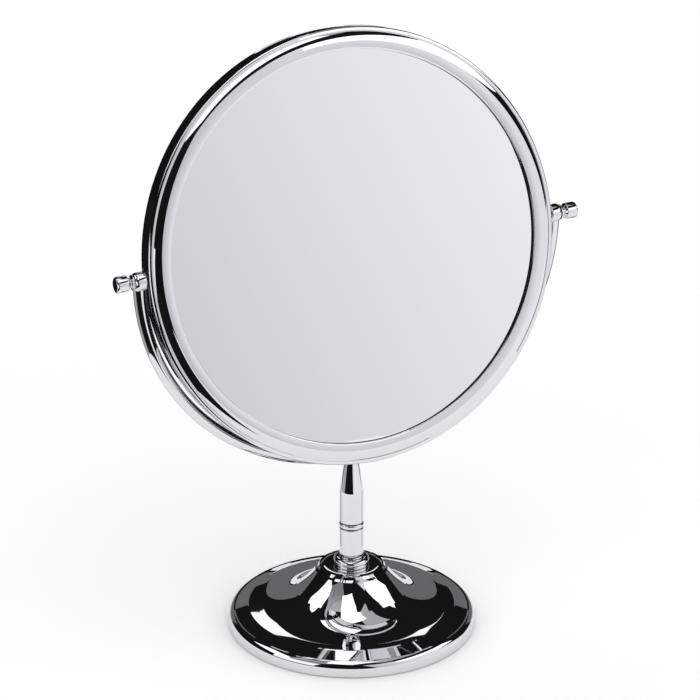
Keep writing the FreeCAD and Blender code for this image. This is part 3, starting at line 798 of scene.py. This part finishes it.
def glow(name, dim, bright, run=(0.0, 0.0, 0.3), patchiness=0.0):
    """Even light that brightens along run, given per metre, with optional soft folds."""
    light = Finish(name)
    place = light.place()
    sockets = {0: place, 1: run}
    rise = light.add("ShaderNodeVectorMath", {"operation": "DOT_PRODUCT"}, sockets, "Value")
    level = rise + 0.5 - light.noise(place, 5.0, 3.0, (3.0, 1.0, 1.0)) * patchiness
    colour = light.blend(level, grey(dim), grey(bright))
    shine = light.add("ShaderNodeEmission", {}, {"Color": colour, "Strength": 1.0})
    light.add("ShaderNodeOutputMaterial", {}, {"Surface": shine})
    return light.material


def hung(name, points, faces, light):
    """A card or cloth that only shows in reflections."""
    mesh = bpy.data.meshes.new(name)
    mesh.from_pydata(points, [], faces)
    mesh.materials.append(light)
    piece = bpy.data.objects.new(name, mesh)
    for ray in ("camera", "diffuse", "transmission", "volume_scatter", "shadow"):
        setattr(piece, f"visible_{ray}", False)
    on_stage(piece)


def bearing(azimuth, elevation):
    """Unit direction: azimuth 0 is straight in front of the mirror and 90 towards +X, in degrees."""
    turn, climb = math.radians(azimuth), math.radians(elevation)
    level = math.cos(climb)
    return Vector((math.sin(turn) * level, -math.cos(turn) * level, math.sin(climb)))


def card(name, azimuth, elevation, distance, wide, tall, lean, light):
    """A flat card facing the mirror's foot.  wide and tall are the angles it fills, lean its roll."""
    half_wide = distance * math.tan(math.radians(wide / 2))
    half_tall = distance * math.tan(math.radians(tall / 2))
    toward = bearing(azimuth, elevation)
    facing = (-toward).to_track_quat("Z", "Y").to_matrix().to_4x4()
    rolled = facing @ Matrix.Rotation(math.radians(lean), 4, "Z")
    stand = Matrix.Translation(toward * distance) @ rolled
    signs = ((-1, -1), (1, -1), (1, 1), (-1, 1))
    points = [stand @ Vector((across * half_wide, up * half_tall, 0.0)) for across, up in signs]
    hung(name, points, [(0, 1, 2, 3)], light)


def round_edge(distance, places):
    """A line round the foot at one distance, through (azimuth, height) places."""
    line = []
    for (first, low), (last, high) in zip(places, places[1:]):
        for step in range(EDGE_STEPS + 1):
            part = step / EDGE_STEPS
            point = bearing(first + (last - first) * part, 0.0) * distance
            line.append(point + Vector((0.0, 0.0, low + (high - low) * part)))
    return line


def drape(name, one_edge, other_edge, light):
    """A sheet stretched between two edge lines of the same number of points."""
    count = len(one_edge)
    faces = [(i, i + 1, count + i + 1, count + i) for i in range(count - 1)]
    hung(name, one_edge + other_edge, faces, light)


cloth_shape = bmesh.new()
bmesh.ops.create_uvsphere(cloth_shape, u_segments=48, v_segments=24, radius=DOME_RADIUS)
cloth_points = [vertex.co.copy() for vertex in cloth_shape.verts]
cloth_faces = [[vertex.index for vertex in face.verts] for face in cloth_shape.faces]
cloth_shape.free()
hung("dark_cloth", cloth_points, cloth_faces, glow("dark_cloth_glow", 0.003, 0.010))

# Cloth lies on the top all round except in front and to the right.  It leaves a pale island near
# the foot, with two shaded strips across it.
for name, first, last, (near, far), dim, bright in (
    ("dark_surround_front", -91, -8, SURROUND, 0.004, 0.012),
    ("grey_surround_left", -140, -91, SURROUND, 0.40, 0.50),
    ("dark_surround_rear", -268, -140, SURROUND, 0.004, 0.012),
    ("table_shade_left", -150, -135, ISLAND, 0.25, 0.35),
    ("table_shade_right", 85, 98, ISLAND, 0.45, 0.50),
):
    edges = [round_edge(distance, [(first, LAID), (last, LAID)]) for distance in (near, far)]
    drape(name, *edges, glow(f"{name}_glow", dim, bright, (-0.5, 0.0, 0.0)))

paper = glow("front_paper_glow", 0.64, 0.97, (1.56, 0.66, 0.6))
paper_top = [(-14, 0.68), (19, 0.84), (20, 0.52), (50, 0.52), (90, 0.01)]
paper_foot = [(azimuth, STOOD) for azimuth in (-3, 19, 20, 50, 90)]
drape("front_paper", round_edge(PAPER_AWAY, paper_foot), round_edge(PAPER_AWAY, paper_top), paper)

rear_edges = [
    round_edge(REAR_CLOTH_AWAY, [(105, height), (205, height)]) for height in (STOOD, 0.20)
]
drape("rear_cloth", *rear_edges, glow("rear_cloth_glow", 0.10, 0.22))

overhead = [(-0.19, -0.44), (0.12, -0.12), (-0.06, 0.045), (-0.37, -0.275)]
overhead_points = [(*point, 0.61) for point in overhead]
hung("near_overhead", overhead_points, [(0, 1, 2, 3)], glow("near_overhead_glow", 1.5, 1.6))

# Each card: its bearing, distance and spread, its roll, then how brightly it glows.
for name, azimuth, elevation, distance, wide, tall, lean, shine in (
    ("rear_softbox", 157, 33, SOFTBOX_AWAY, 17, 7, 0, (1.2, 1.4)),
    ("rear_overhead", -172, 77, SOFTBOX_AWAY, 26, 17, 0, (1.3, 1.4)),
    ("right_softbox", 50, 38, SOFTBOX_AWAY, 58, 23, -4, (1.5, 1.6)),
    ("left_softbox", -113, 41, SOFTBOX_AWAY, 34, 20, 14, (1.5, 1.6)),
    ("folded_cloth", -73, 53, SOFTBOX_AWAY, 28, 28, 0, (0.25, 1.4, (0.5, 0.3, 0.3), 0.5)),
    ("upper_right_cloth", 60, 73, SOFTBOX_AWAY, 40, 16, 0, (0.30, 0.5)),
    ("left_low_card", -75, 21, 0.45, 38, 28, 0, (1.2, 1.3)),
):
    card(name, azimuth, elevation, distance, wide, tall, lean, glow(f"{name}_glow", *shine))

# ------------------------------------------------------------------ camera
# It stands in front and somewhat towards -X, and looks down on the mirror.  The long lens keeps the
# round frame free of strong perspective.
AIM = Vector((-0.0007, 0.0003, 0.1546))
AZIMUTH, ELEVATION, DISTANCE = -24.86, 22.78, 1.7202
LENS, SENSOR = 173.4, 36.0
camera = bpy.data.objects.new("camera", bpy.data.cameras.new("camera"))
camera.data.lens = LENS
camera.data.sensor_width = SENSOR
camera.data.clip_start = 0.05
camera.data.clip_end = 50.0
toward_camera = bearing(AZIMUTH, ELEVATION)
camera.location = AIM + toward_camera * DISTANCE
camera.rotation_euler = (-toward_camera).to_track_quat("-Z", "Y").to_euler()
bpy.context.scene.collection.objects.link(camera)
bpy.context.scene.camera = camera
bpy.context.scene.view_settings.view_transform = "Standard"
